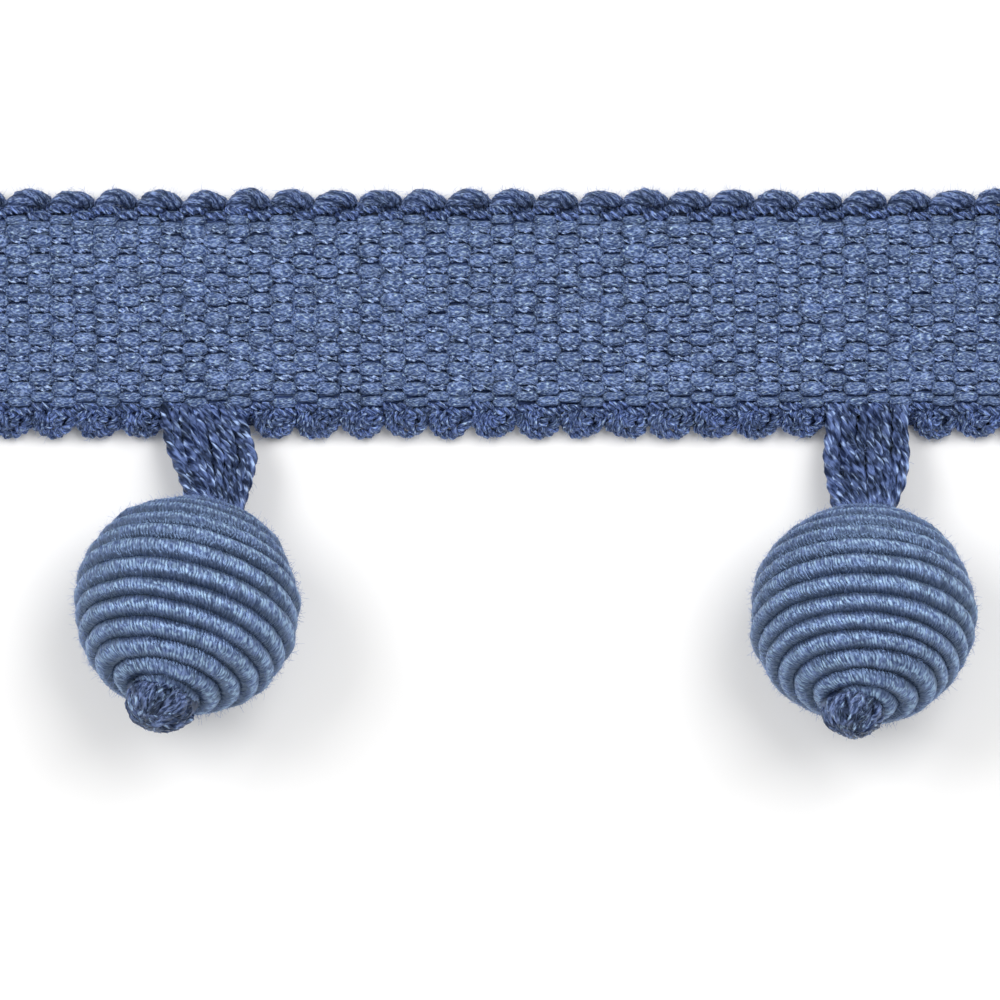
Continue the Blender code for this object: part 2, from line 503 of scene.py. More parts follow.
def twist_along(points, rate):
    """Angles that turn the plies of a yarn at an even rate along it."""
    steps = np.linalg.norm(np.diff(points, axis=0), axis=1)
    return np.concatenate([[0], np.cumsum(steps)]) * rate


def smooth_noise(places, rate, chooser):
    """A slow random curve between about -1 and 1, over the given places."""
    start = chooser.uniform(0, 500)
    return np.array([noise.noise((place * rate + start, 0, 0)) for place in places]) * 1.6


# ---------------------------------------------------------------- heading

# Places on a warp between one edge of a pick and the next, close together where it dives
WARP_STEPS = (0.0, 0.07, 0.13, 0.27, 0.5, 0.73, 0.87, 0.93)
TWISTED_STEPS = (0.0, 0.07, 0.14, 0.26, 0.42, 0.58, 0.74, 0.86, 0.93)
# A float's arch: half its width next to the pick, and how square its shoulders are
FLOAT_HALF_WIDTH = 0.45
FLOAT_SQUARENESS = 2.5
# How much floats differ: their rise, their slant, and their slide along the warp in millimetres
FLOAT_RISES = (0.9, 1.04)
FLOAT_SLANT = 0.06
FLOAT_SLIDE = 0.05
WARP_RISE = 0.7 * MM

# The sheet of picks: it ends under the loops, and falls away towards them
SHEET_TOP, SHEET_BOTTOM = 7.85 * MM, -8.15 * MM
STEPS_PER_PICK, SHEET_ROWS = 6, 14
RIM_HALF_HEIGHT, RIB_HEIGHT, RIB_ROUNDNESS = 0.12 * MM, 0.33 * MM, 0.6
FALL_DEPTH, FALL_FROM = 0.42 * MM, 6.9 * MM
LOWER_FALL_WIDTH, UPPER_FALL_WIDTH, UPPER_FALL_SHARE = 0.9 * MM, 0.5 * MM, 1.8

# One row per warp: height above the middle of the heading, the pick it starts over, and for
# the light warps its size
LIGHT_WARPS = (
    (6.73 * MM, 0, 0.62), (6.36 * MM, 1, 0.62), (-6.07 * MM, 1, 0.68), (-6.44 * MM, 0, 0.68),
)
EDGE_WARPS = ((7.5 * MM, 0), (7.07 * MM, 1), (-6.8 * MM, 1), (-7.2 * MM, 0))
THIN_WARP_SHIFT = 0.05 * MM


def picks_across(heading):
    return round((HEADING_HIGH.x - HEADING_LOW.x) / heading.pick)


def warp_path(heading, across, parity, rise, steps, wander, chooser):
    """A warp's way over one pick and under the next: its points, arch and picks there.

    The arch is 1 on top of a float and under it, and 0 between floats.
    """
    picks = picks_across(heading)
    column, share = np.divmod(np.arange(picks * len(steps)), len(steps))
    share = np.array(steps)[share]
    column, share = np.append(column, picks - 1), np.append(share, 1.0)
    over = np.where((column + parity) % 2 == 0, 1.0, -1.0)
    inset = (np.abs(share - 0.5) / FLOAT_HALF_WIDTH).clip(0, 1)
    arch = (1 - inset**FLOAT_SQUARENESS) ** (1 / FLOAT_SQUARENESS)
    shifts = draws(chooser, picks, -wander, wander)
    rises = draws(chooser, picks, *FLOAT_RISES)
    slants = draws(chooser, picks, -FLOAT_SLANT, FLOAT_SLANT)
    slides = draws(chooser, picks, -FLOAT_SLIDE, FLOAT_SLIDE) * MM
    points = np.empty((len(share), 3))
    points[:, 1] = across + (shifts[column] + slants[column] * (share - 0.5) * heading.pick) * arch
    points[:, 0] = HEADING_LOW.x + (column + share) * heading.pick + slides[column] * arch
    points[:, 2] = heading.middle_height + over * rise * arch * rises[column]
    points = settled(points)
    inner = (column + share > 0.5) & (column + share < picks - 0.5)
    points[inner, 0] -= heading.lean * points[inner, 1]
    points[:, 0] = points[:, 0].clip(HEADING_LOW.x, HEADING_HIGH.x)
    return points, arch, column


def float_sizes(column, arch, chooser, least, most, pinch):
    """Sizes along a warp: each float has its own, and it is pinched between floats."""
    own = draws(chooser, column.max() + 1, least, most)
    return own[column] * (pinch + (1 - pinch) * arch)


def twisted_warps(heading, rows, rise, steps, wander, spread, twist, seed):
    """Strands for two-ply warps, one for each row of a height and the pick it starts over."""
    chooser = random.Random(seed)
    strands = []
    for across, parity in rows:
        points, arch, column = warp_path(heading, across, parity, rise, steps, wander, chooser)
        sizes = float_sizes(column, arch, chooser, *spread, pinch=0.75)
        turns = twist_along(points, twist) + chooser.uniform(*ANY_START)
        strands.append((points, sizes, turns))
    return strands


class TRIM_OT_picks(Operator):
    """Lay the sheet of weft picks that the warps are woven over"""

    bl_idname = "trim.picks"
    bl_label = "Weft picks"

    def execute(self, context):
        heading = context.scene.trim_heading
        colours = context.scene.trim_colours
        picks = picks_across(heading)
        deselect_all()
        bpy.ops.mesh.primitive_grid_add(
            x_subdivisions=picks * STEPS_PER_PICK, y_subdivisions=SHEET_ROWS, size=1
        )
        piece = bpy.context.object
        piece.name = "weft_picks"
        places = vertex_values(piece)
        along = places[:, 0] + 0.5
        across = places[:, 1] * 2
        rib = np.abs(np.sin(np.pi * along * picks)) ** RIB_ROUNDNESS
        on_rim = (np.abs(across) > 0.99) | (along < 1e-4) | (along > 1 - 1e-4)
        places[:, 1] = SHEET_BOTTOM + (SHEET_TOP - SHEET_BOTTOM) * (across + 1) / 2
        places[:, 0] = HEADING_LOW.x + along * (HEADING_HIGH.x - HEADING_LOW.x)
        places[:, 2] = np.where(on_rim, 0, RIM_HALF_HEIGHT + RIB_HEIGHT * rib)
        move_vertices(piece, places)
        mirror = piece.modifiers.new("Other face", "MIRROR")
        mirror.use_axis = (False, False, True)
        mirror.merge_threshold = 0.01 * MM
        make_active(piece)
        bpy.ops.object.modifier_apply(modifier=mirror.name)
        places = vertex_values(piece)
        fall = ((-FALL_FROM - places[:, 1]) / LOWER_FALL_WIDTH).clip(0, 1)
        fall += ((places[:, 1] - FALL_FROM) / UPPER_FALL_WIDTH).clip(0, 1) * UPPER_FALL_SHARE
        places[:, 2] += heading.middle_height - FALL_DEPTH * fall
        move_vertices(piece, places)
        close_and_smooth(piece)
        # The edge yarn's colour made darker and purer: the picks' own dark blue with painted shade
        # for the gaps between the warps
        colour = toned(colours.edge_yarn, 0.6, 1.25)
        material = yarn_material("weft_cord", colour, girth=32, glints=0.6)
        finish_piece(piece, material, ["heading"])
        return {"FINISHED"}


class TRIM_OT_thick_warps(Operator):
    """Weave the thick soft warps and the lighter ones beside the edges"""

    bl_idname = "trim.thick_warps"
    bl_label = "Thick warps"

    def execute(self, context):
        heading = context.scene.trim_heading
        colours = context.scene.trim_colours
        chooser = random.Random(11)
        thick = [
            (heading.first_thick - row * heading.thick_spacing, row % 2, 1.0)
            for row in range(heading.thick_rows)
        ]
        material = yarn_material(
            "soft_warp", colours.soft_warp, girth=3.0, streak=(0.27, 0.2), turn=0.5, depth=0.09,
            dark=0.44, light=1.27, painted_glint_colour=(0.45, 0.6, 0.8),
        )
        for name, rows in (("thick_warps", thick), ("light_warps", LIGHT_WARPS)):
            strands = []
            for across, parity, size in rows:
                # The smaller a warp is, the further it wanders
                wander = (1.4 - size) * 0.125 * MM
                points, arch, column = warp_path(
                    heading, across, parity, WARP_RISE, WARP_STEPS, wander, chooser
                )
                sizes = size * float_sizes(column, arch, chooser, 0.88, 1.1, pinch=0.83)
                turns = draws(chooser, column.max() + 1, -0.1, 0.1)
                strands.append((points, sizes, turns[column] * arch))
            section = section_object(8, 0.54 * MM, 0.37 * MM)
            piece = sweep(name, section, strands, upright=True)
            roughen(piece, size=0.45 * MM, depth=0.2 * MM)
            finish_piece(piece, material)
        return {"FINISHED"}


class TRIM_OT_thin_warps(Operator):
    """Weave the thin twisted warps that bind the picks between the thick ones"""

    bl_idname = "trim.thin_warps"
    bl_label = "Thin warps"

    def execute(self, context):
        heading = context.scene.trim_heading
        colours = context.scene.trim_colours
        rows = [
            (heading.first_thick - row * heading.thick_spacing + THIN_WARP_SHIFT, (row + 1) % 2)
            for row in range(heading.thick_rows)
        ]
        strands = twisted_warps(
            heading, rows, rise=0.79 * MM, steps=TWISTED_STEPS, wander=0.04 * MM,
            spread=(0.88, 1.12), twist=3.5 / MM, seed=12,
        )
        section = section_object(6, 0.18 * MM, lobes=2, relief=0.38)
        piece = sweep("thin_warps", section, strands)
        material = yarn_material(
            "thin_pair", colours.thin_pair, girth=1.3, plies=2, streak=(0.35, 0.2), depth=0.04,
            dark=0.22, light=1.7, painted_glint_colour=(0.53, 0.68, 0.95), groove_shade=0.85, roughness=0.32,
            specular=0.9, glow=0.05, rarity=0.4,
        )
        finish_piece(piece, material)
        return {"FINISHED"}


class TRIM_OT_edge_warps(Operator):
    """Weave the dark yarns that hold the loops along both edges"""

    bl_idname = "trim.edge_warps"
    bl_label = "Edge warps"

    def execute(self, context):
        heading = context.scene.trim_heading
        colours = context.scene.trim_colours
        strands = twisted_warps(
            heading, EDGE_WARPS, rise=WARP_RISE, steps=WARP_STEPS, wander=0.08 * MM,
            spread=(0.9, 1.15), twist=4.4 / MM, seed=13,
        )
        section = section_object(10, 0.28 * MM, lobes=2, relief=0.32)
        piece = sweep("edge_warps", section, strands)
        material = yarn_material(
            "edge_yarn", toned(colours.edge_yarn, 1.15), girth=1.8, plies=2,
            streak=(0.26, 0.18), depth=0.06, light=1.9, painted_glint_colour=(0.42, 0.56, 0.82), groove_shade=0.3,
            roughness=0.38, specular=0.8, rarity=0.52,
        )
        finish_piece(piece, material)
        return {"FINISHED"}


# Courses of the edges' cords, as X from the loop's middle, Y and Z in millimetres. The upper
# loop's cord has a size at each point.
UPPER_LOOP = (
    (-0.95, 6.7, 0.6), (-1.02, 7.3, 0.74), (-1.05, 7.9, 1.12), (-0.55, 8.33, 1.46),
    (0.2, 8.44, 1.36), (0.85, 8.32, 1.0), (1.25, 7.98, 0.52), (1.22, 7.4, 0.3), (1.0, 6.8, 0.35),
)
UPPER_LOOP_SIZES = (0.68, 0.8, 1.0, 1.04, 1.0, 0.9, 0.7, 0.5, 0.45)
UPPER_LOOP_BEND = slice(2, 6)
LOOP_STEPS = 38
LOOP_HEIGHT = 8 * MM
LOWER_CURLS = (
    ((-1.1, -6.8, 0.95), (-1.52, -7.6, 0.7), (-1.4, -8.3, 0.5), (-0.75, -8.72, 0.5),
     (0.0, -8.8, 0.55), (0.8, -8.7, 0.5), (1.42, -8.2, 0.55), (1.5, -7.6, 0.7), (1.1, -6.8, 0.95)),
    ((-0.8, -6.8, 1.1), (-1.22, -7.5, 1.2), (-1.12, -8.15, 1.08), (-0.6, -8.45, 1.0),
     (-0.15, -8.05, 1.1), (-0.25, -7.4, 1.15), (-0.4, -6.8, 0.9)),
    ((0.3, -6.8, 1.1), (0.15, -7.5, 1.25), (0.22, -8.15, 1.1), (0.72, -8.5, 1.0),
     (1.2, -8.1, 1.05), (1.18, -7.4, 1.15), (0.9, -6.8, 0.95)),
    ((-0.85, -7.1, 1.3), (-0.5, -7.75, 1.48), (0.02, -8.1, 1.4), (0.55, -7.75, 1.42),
     (0.75, -7.1, 1.25)),
    ((-1.45, -7.0, 0.9), (-1.0, -7.7, 1.3), (-0.55, -8.5, 0.9), (0.3, -8.72, 0.8),
     (1.0, -8.45, 0.85), (1.4, -7.8, 0.9), (1.5, -7.0, 0.8)),
)
# The curls' width next to the table's, beyond the loops' height and before it, and their lift
CURL_END_WIDTH, CURL_WIDTH = 0.88, 0.99
CURL_LIFT = 0.25 * MM
CURL_TWIST = 0.9


class TRIM_OT_upper_loops(Operator):
    """Turn the soft cord round at the upper edge, one loop for every two picks"""

    bl_idname = "trim.upper_loops"
    bl_label = "Upper loops"

    def execute(self, context):
        heading = context.scene.trim_heading
        colours = context.scene.trim_colours
        chooser = random.Random(14)
        strands = []
        share = np.linspace(0, 1, LOOP_STEPS)
        for loop in range(picks_across(heading) // 2):
            centre = HEADING_LOW.x + (loop + 0.5) * 2 * heading.pick - heading.lean * LOOP_HEIGHT
            knots = np.array(UPPER_LOOP) * MM
            knots += nudges(chooser, len(knots), 0.08)
            knots[UPPER_LOOP_BEND, 1] += chooser.uniform(-0.2, 0.08) * MM
            knots[:, 0] += centre
            points = settled(through(knots, LOOP_STEPS))
            sizes = np.interp(share, np.linspace(0, 1, len(knots)), UPPER_LOOP_SIZES)
            sizes = sizes * chooser.uniform(0.94, 1.06)
            turns = twist_along(points, chooser.uniform(1.3, 1.7) / MM)
            strands.append((points, sizes, turns + chooser.uniform(*ANY_START)))
        section = section_object(20, 0.64 * MM, 0.6 * MM, lobes=5, relief=0.05)
        piece = sweep("upper_loops", section, strands)
        roughen(piece, size=0.3 * MM, depth=0.2 * MM)
        material = yarn_material(
            "loop_cord", colours.loop_cord, girth=4.2, plies=5, streak=(0.24, 0.17), turn=0.5,
            depth=0.08, dark=0.25, light=1.5, painted_glint_colour=(0.36, 0.48, 0.68), groove_shade=0.12, mottling=0.4,
        )
        finish_piece(piece, material)
        return {"FINISHED"}


class TRIM_OT_lower_loops(Operator):
    """Curl the dark yarn round at the lower edge, leaving out the hangers' places"""

    bl_idname = "trim.lower_loops"
    bl_label = "Lower loops"

    def execute(self, context):
        heading = context.scene.trim_heading
        colours = context.scene.trim_colours
        chooser = random.Random(15)
        strands = []
        for loop in range(picks_across(heading) // 2 - 1):
            centre = HEADING_LOW.x + heading.pick * (2 * loop + 2) + heading.lean * LOOP_HEIGHT
            if hangs_here(centre):
                continue
            for curl in LOWER_CURLS:
                knots = np.array(curl) * MM
                knots[:, 0] *= np.where(knots[:, 1] < -LOOP_HEIGHT, CURL_END_WIDTH, CURL_WIDTH)
                knots[:, 2] += CURL_LIFT
                knots += nudges(chooser, len(knots), 0.12)
                knots[:, 0] += centre
                count = 4 * len(knots) - 2
                points = settled(through(knots, count))
                turns = np.arange(count) * CURL_TWIST + chooser.uniform(*ANY_START)
                strands.append((points, chooser.uniform(0.88, 1.1), turns))
        section = section_object(8, 0.26 * MM, lobes=2, relief=0.3)
        piece = sweep("lower_loops", section, strands)
        material = yarn_material(
            "curl_yarn", toned(colours.edge_yarn, 1.08), girth=1.7, plies=2, streak=(0.28, 0.2),
            depth=0.06, light=2.0, painted_glint_colour=(0.46, 0.61, 0.86), groove_shade=0.5, mottling=0.45,
            roughness=0.38, specular=0.8, rarity=0.52,
        )
        finish_piece(piece, material)
        return {"FINISHED"}


def hangs_here(along):
    """True where a hanger takes the place of the lower loops."""
    for number in PENDANT_NUMBERS:
        low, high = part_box(f"hanger_{number}")
        if low.x < along < high.x:
            return True
    return False


# ---------------------------------------------------------------- hangers

# Rows down each hanger, from the heading to the ball, in millimetres: Y, and the left and right
# edges next to the middle of the hanger's box
HANGER_EDGES = {
    1: (
        (-6.6, -3.5, 2.4), (-7.75, -3.5, 2.65), (-9.7, -3.05, 3.25), (-10.6, -2.7, 3.45),
        (-12.2, -2.05, 3.1), (-13.9, -1.45, 2.6), (-15.2, -1.1, 2.1),
    ),
    2: (
        (-6.6, -2.9, 3.1), (-7.75, -2.95, 3.1), (-9.7, -3.15, 3.15), (-10.6, -3.2, 3.15),
        (-12.2, -2.9, 2.9), (-13.9, -2.45, 2.2), (-15.2, -1.9, 1.7),
    ),
}
HANGER_YARNS = 10
HANGER_STEPS = 50
HANGER_EDGE_INSET = 0.3 * MM
# Height of the bunch where it leaves the heading, and of its upper layer above the middle
HANGER_START_HEIGHT = 1.2 * MM
LAYER_LIFT = 0.36 * MM
# Where the yarns end inside the ball, next to its radius
HOLE_DEPTH = 0.88


def pendant(number):
    """A ball's centre, its axis from the upper hole to the lower one, and its radius."""
    low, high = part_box(f"ball_{number}")
    knot_low, knot_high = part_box(f"knot_{number}")
    centre = (low + high) / 2
    axis = ((knot_low + knot_high) / 2 - centre).normalized()
    return centre, axis, (high.x - low.x) / 2


class TRIM_OT_hangers(Operator):
    """Lead the plied yarns of each hanger from the heading into its ball"""

    bl_idname = "trim.hangers"
    bl_label = "Hangers"

    def execute(self, context):
        colours = context.scene.trim_colours
        material = yarn_material(
            "hanger_yarn", toned(colours.edge_yarn, 0.68, 0.95), girth=1.9, plies=3,
            streak=(1.1, 0.36), turn=0.1, depth=0.06, dark=0.14, light=1.5,
            painted_glint_colour=(0.43, 0.58, 0.9), groove_shade=0.9, mottling=0.8, roughness=0.34, specular=0.8,
            glow=0.05, rarity=0.54, tint=(0.33, 0.5, 1.0),
        )
        for number in PENDANT_NUMBERS:
            chooser = random.Random(20 + number)
            strands = []
            # The lower layer has one yarn less, and its yarns lie between those above
            for layer in (0, 1):
                for strand in range(HANGER_YARNS - layer):
                    strands.append(hanger_strand(number, layer, strand, chooser))
            section = section_object(12, 0.32 * MM, lobes=3, relief=0.24)
            piece = sweep(f"hanger_yarns_{number}", section, strands)
            finish_piece(piece, material, [f"hanger_{number}"])
        return {"FINISHED"}


def hanger_strand(number, layer, strand, chooser):
    """One plied yarn: its points from inside the heading to inside the ball."""
    centre, axis, radius = pendant(number)
    low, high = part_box(f"hanger_{number}")
    hole = centre - axis * radius * HOLE_DEPTH
    rows = np.array(HANGER_EDGES[number]) * MM
    share = np.linspace(0, 1, HANGER_STEPS)
    down = rows[0, 0] + (hole.y - rows[0, 0]) * share
    left = np.interp(-down, -rows[:, 0], rows[:, 1]) + HANGER_EDGE_INSET
    right = np.interp(-down, -rows[:, 0], rows[:, 2]) - HANGER_EDGE_INSET
    place = (strand + 0.5 * layer) / (HANGER_YARNS - 1) + chooser.uniform(-0.015, 0.015)
    sway = 0.022 * np.sin(share * chooser.uniform(4, 8) + chooser.uniform(*ANY_START))
    lift = LAYER_LIFT if layer == 0 else -LAYER_LIFT
    end_height = hole.z + lift * 1.1
    start_height = HANGER_START_HEIGHT + lift
    waves = np.sin(share * 9 + chooser.uniform(*ANY_START)) * np.sin(np.pi * share)
    points = np.empty((len(share), 3))
    points[:, 0] = (low.x + high.x) / 2 + left + (right - left) * (place + sway).clip(0, 1)
    points[:, 1] = down
    points[:, 2] = start_height + (end_height - start_height) * share**1.25
    points[:, 2] += 0.12 * MM * waves
    turns = -share * chooser.uniform(16, 20) + chooser.uniform(*ANY_START)
    return points, chooser.uniform(0.98, 1.18), turns


# ---------------------------------------------------------------- balls

# Angles round the cord at which its section has a point, from its outermost line
COIL_SECTION = np.radians([-127, -90, -58, -28, 0, 28, 58, 90, 127])
# Length round the section for each radian of its angle, in millimetres
SECTION_RADIUS = 0.75
# Angles from the lower pole to the grooves between turns of cord, on the side that faces up
BALL_GROOVES = {
    1: (-3, 8, 19.5, 31.5, 43.5, 54.5, 65.5, 76, 88, 99.8, 110.5, 121, 132, 143, 153.5, 164, 174),
    2: (-4, 7, 18.5, 29.5, 41.5, 51.5, 61, 71.5, 83, 95, 105.5, 116.5, 127.5, 138, 149, 160, 171),
}
# Turns of the spiral that run on past the first and the last turn, tucked into the holes
FIRST_TUCK, LAST_TUCK = 1.2, 0.45
TUCK_FROM = 0.35
TUCK_DEPTH = 1.7 * MM
COURSE_STEPS = 6001
GROOVE_STEPS = 15001
# Unevenness of the lay: how far the grooves waver, and over how many waves in all
COIL_WAVES = ((math.radians(0.9), 45), (math.radians(0.45), 260))
COIL_STAND = 0.18 * MM
SAMPLES_PER_WRAP = 2
COIL_WELD = 0.0005 * MM


class TRIM_OT_balls(Operator):
    """Wind each ball with one spiral of gimp cord, wrapped in fine thread"""

    bl_idname = "trim.balls"
    bl_label = "Balls"

    def execute(self, context):
        settings = context.scene.trim_ball
        material = gimp_material(context.scene.trim_colours.gimp, settings.wrap_spacing / MM)
        for number in PENDANT_NUMBERS:
            piece = wind_ball(settings, number)
            finish_piece(piece, material, [f"ball_{number}"])
        return {"FINISHED"}


def gimp_material(colour, spacing):
    """Fine thread laid side by side round a cord: a ridge for each turn, with painted light and
    painted glints along the crest and painted shade on its sides.

    The UV map is in millimetres: along the cord, and around it from its outermost line.
    """
    nodes = Nodes("gimp_thread")
    along, around = nodes.along_and_around()
    wobble = nodes.streaks(0.8, 1.0)
    along = nodes.math("MULTIPLY_ADD", wobble, spacing * 2.2, along)
    phase = nodes.math("MULTIPLY", along, math.pi / spacing)
    ridge = nodes.math("ABSOLUTE", nodes.math("COSINE", phase))
    # Here and there the threads lie so close that their ridges fade
    smear = nodes.between(nodes.streaks(0.8, 0.6), 0.35, 0.6, 0.45, 1.0)
    ridge = nodes.math("MULTIPLY", ridge, smear)
    fibres = nodes.between(nodes.streaks(0.2, 0.42, turn=0.3), 0.38, 0.62)
    height = nodes.math("MULTIPLY_ADD", fibres, 0.6, ridge)
    # Distance round the cord from the line painted brightest, a little off the crest; the cord gets
    # painted light there and painted shade towards the grooves
    side = nodes.math("ABSOLUTE", nodes.math("SUBTRACT", around, 0.1))
    painted_flank_shade = nodes.between(side, 0.05, 0.8, 1.27, 0.28)
    cloud = nodes.between(nodes.blotches(1.4 * MM), 0.32, 0.68, 0.62, 1.24)
    # Painted shade in the valleys between the thread's turns and painted light on their ridges,
    # over the fibres' own streaks
    weave = nodes.between(nodes.math("MULTIPLY_ADD", fibres, 0.9, ridge), 0.3, 1.6)
    streaked = nodes.mix(weave, toned(colour, 0.43, 1.2), toned(colour, 1.22, 0.74))
    shaded = nodes.mix(1.0, streaked, nodes.math("MULTIPLY", painted_flank_shade, cloud), "MULTIPLY")
    # Painted glints on the ridges near the painted bright line, mixed in as a pale blue
    painted_glint = nodes.streaks(0.3, 0.4, turn=0.3, detail=0.0)
    painted_glint = nodes.math("MULTIPLY", nodes.between(painted_glint, 0.42, 0.56, 0.0, 1.0), ridge)
    painted_glint = nodes.math("MULTIPLY", painted_glint, nodes.between(side, 0.12, 0.5, 1.0, 0.0))
    lit = nodes.mix(painted_glint, shaded, (0.38, 0.55, 0.75))
    normal = nodes.bump(height, 0.05 * MM)
    nodes.put(1.7, nodes.shader.inputs["IOR"])
    return nodes.finish(
        lit, normal, roughness=0.32, specular=1.0, sheen=0.3, glow=0.1, tint=(0.42, 0.62, 1.0)
    )


def coil_course(settings, number, radius):
    """The spiral in fine steps: turns, angle from the lower pole, half thickness and stand.

    Each turn keeps its own distance from the last one. The stand is how far the cord rises from
    the ball's own shape.
    """
    chooser = random.Random(30 + number)
    grooves = np.radians(BALL_GROOVES[number])
    turns = np.linspace(-FIRST_TUCK, last_turn(number) + LAST_TUCK, COURSE_STEPS)
    evenly = through(grooves[:, None], GROOVE_STEPS)[:, 0]
    for most, waves in COIL_WAVES:
        evenly += most * smooth_noise(np.linspace(0, waves, GROOVE_STEPS), 1.0, chooser)
    scale = np.linspace(-1.5, len(grooves) - 2.5, GROOVE_STEPS)
    lower, upper = np.interp(turns, scale, evenly), np.interp(turns + 1, scale, evenly)
    thick = (upper - lower) / 2 * radius * settings.fullness
    thick *= 1 + 0.09 * smooth_noise(turns, 3.0, chooser)
    stand = COIL_STAND * smooth_noise(turns, 2.0, chooser)
    return turns, (lower + upper) / 2, thick, stand


def last_turn(number):
    """The turn at which the cord begins to dip into the upper hole."""
    return len(BALL_GROOVES[number]) - 4


def wind_ball(settings, number):
    """The coil as a tube along a spiral on the ball, ridged by its wrapping thread."""
    radius = pendant(number)[2]
    course = coil_course(settings, number, radius)
    turns, polar = course[:2]
    steps = np.diff(turns) * math.tau * radius * np.maximum(np.sin(polar[1:]), 0.12)
    length = np.concatenate([[0], np.cumsum(steps)])
    spacing = settings.wrap_spacing
    wraps = int(length[-1] / spacing)
    rows = len(COIL_SECTION)
    deselect_all()
    bpy.ops.mesh.primitive_grid_add(
        x_subdivisions=wraps * SAMPLES_PER_WRAP, y_subdivisions=rows, size=1
    )
    piece = bpy.context.object
    piece.name = f"wound_ball_{number}"
    mesh = piece.data
    grid = vertex_values(piece)
    wrap = np.round((grid[:, 0] + 0.5) * wraps * SAMPLES_PER_WRAP) / SAMPLES_PER_WRAP
    row = np.round((grid[:, 1] + 0.5) * rows).astype(int)
    angle = COIL_SECTION[row % rows]
    # The thread crosses the cord at a slant, so each row of the grid starts a bit further on
    along = (wrap - settings.wrap_slant * angle) * spacing
    own = np.random.default_rng(60 + number).normal(size=wraps + 2)
    uneven = np.interp(wrap, np.arange(wraps + 2), own)
    swelling = 1 + 0.045 * np.cos(wrap * math.tau) + 0.02 * uneven
    here = [np.interp(along, length, line) for line in course]
    move_vertices(piece, coil_surface(settings, number, here, angle, swelling))
    corners = np.empty(len(mesh.loops), int)
    mesh.loops.foreach_get("vertex_index", corners)
    unrolled = angle + math.tau * (row == rows)
    uv = np.stack([wrap * spacing / MM, unrolled * SECTION_RADIUS], 1)[corners]
    mesh.uv_layers[0].data.foreach_set("uv", uv.ravel())
    close_up(piece, COIL_WELD, fill=True)
    bpy.ops.object.shade_smooth()
    return piece


def coil_surface(settings, number, here, angle, swelling):
    """Places on the cord's surface, from its course there and the angle round its section."""
    centre, axis, radius = pendant(number)
    turns, polar, thick, stand = here
    tuck = (-turns - TUCK_FROM).clip(0) / (FIRST_TUCK - TUCK_FROM)
    tuck += (turns - last_turn(number)).clip(0) / LAST_TUCK
    reach = radius - thick + stand - TUCK_DEPTH * tuck**1.4
    around = math.pi - math.tau * turns
    sine, cosine = np.sin(polar), np.cos(polar)
    outward = np.stack([sine * np.cos(around), sine * np.sin(around), cosine], 1)
    downward = np.stack([cosine * np.cos(around), cosine * np.sin(around), -sine], 1)
    spread = thick * swelling
    places = outward * (reach + np.cos(angle) * spread)[:, None]
    places += downward * (np.sin(angle) * spread)[:, None]
    places[:, 2] *= settings.flattening
    facing_up = (Vector((0, 0, 1)) - axis * axis.z).normalized()
    places = places @ np.array([facing_up, axis.cross(facing_up), axis]) + np.array(centre)
    places[:, 2] = places[:, 2].clip(FLOOR_CLEARANCE)
    return places


# ---------------------------------------------------------------- knots

KNOT_YARNS = 28
KNOT_STEPS = 30
KNOT_YARN_RADIUS = 0.29 * MM
KNOT_SIZE = 0.95
# Places of the knots next to the middle of their boxes, in millimetres: out along the ball's
# axis for both, and along X, Y and Z for each
KNOT_OUT = 0.12
KNOT_SHIFTS = {1: (0.37, 0.26, 0), 2: (-0.4, 0.26, 0)}
# Turn from one yarn's fold to the next, as a share of a full turn, so that no two lie alike
KNOT_TURN = 0.382
# How far a yarn swings to each side, how high its fold stands, and how much the knot narrows
KNOT_SWING = 1.7
KNOT_HEIGHT = 0.68
KNOT_NARROWING = 0.45


class TRIM_OT_knots(Operator):
    """Tie off the hanger yarns in a small knot below each ball"""

    bl_idname = "trim.knots"
    bl_label = "Knots"

    def execute(self, context):
        colours = context.scene.trim_colours
        material = yarn_material(
            "knot_yarn", toned(colours.edge_yarn, 0.73, 0.76), girth=2.0, plies=2,
            streak=(0.75, 0.34), dark=0.2, light=1.8, painted_glint_colour=(0.4, 0.56, 0.8), groove_shade=0.6,
            mottling=0.8, roughness=0.36, specular=0.8, glow=0.1, tint=(0.38, 0.56, 1.0),
        )
        for number in PENDANT_NUMBERS:
            chooser = random.Random(40 + number)
            _centre, axis, _radius = pendant(number)
            low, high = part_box(f"knot_{number}")
            middle = (low + high) / 2 + axis * KNOT_OUT * MM
            middle += Vector(KNOT_SHIFTS[number]) * MM
            size = (high.x - low.x) / 2 * KNOT_SIZE
            turn = np.array((-axis).to_track_quat("Z", "Y").to_matrix())
            strands = [
                knot_strand(strand, size, turn, middle, chooser) for strand in range(KNOT_YARNS)
            ]
            strands.append(knot_core(size, axis, middle))
            section = section_object(8, KNOT_YARN_RADIUS, lobes=2, relief=0.25)
            piece = sweep(f"tied_knot_{number}", section, strands)
            finish_piece(piece, material, [f"knot_{number}"])
        return {"FINISHED"}


